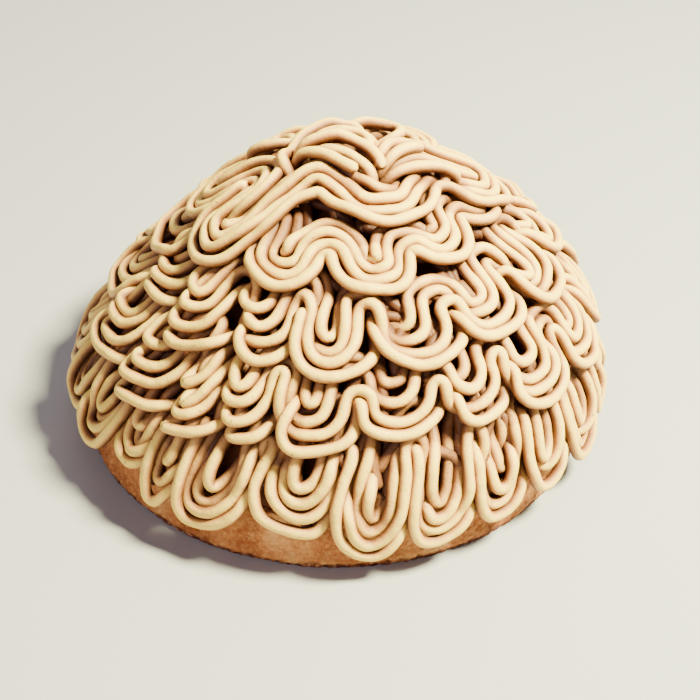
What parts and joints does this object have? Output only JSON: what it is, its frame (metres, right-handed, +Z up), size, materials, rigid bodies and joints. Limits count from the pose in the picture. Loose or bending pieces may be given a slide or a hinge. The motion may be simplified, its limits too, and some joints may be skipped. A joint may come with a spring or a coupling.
{
  "type": "chestnut cream tart",
  "caption": "Round baked tart with a tall dome of piped chestnut cream strands in overlapping hanging loops.",
  "frame": {"origin": "centre of the flat round underside of the tart", "axes": "+Z up through the crown; -Y towards the viewer in the picture"},
  "size_m": [0.1611, 0.1605, 0.0905],
  "materials": {
    "crust": "baked, crumbly",
    "cream": "soft matte cream"
  },
  "bodies": {
    "root": {"tart_crust": "crust", "chestnut_cream": "cream"}
  },
  "joints": []
}
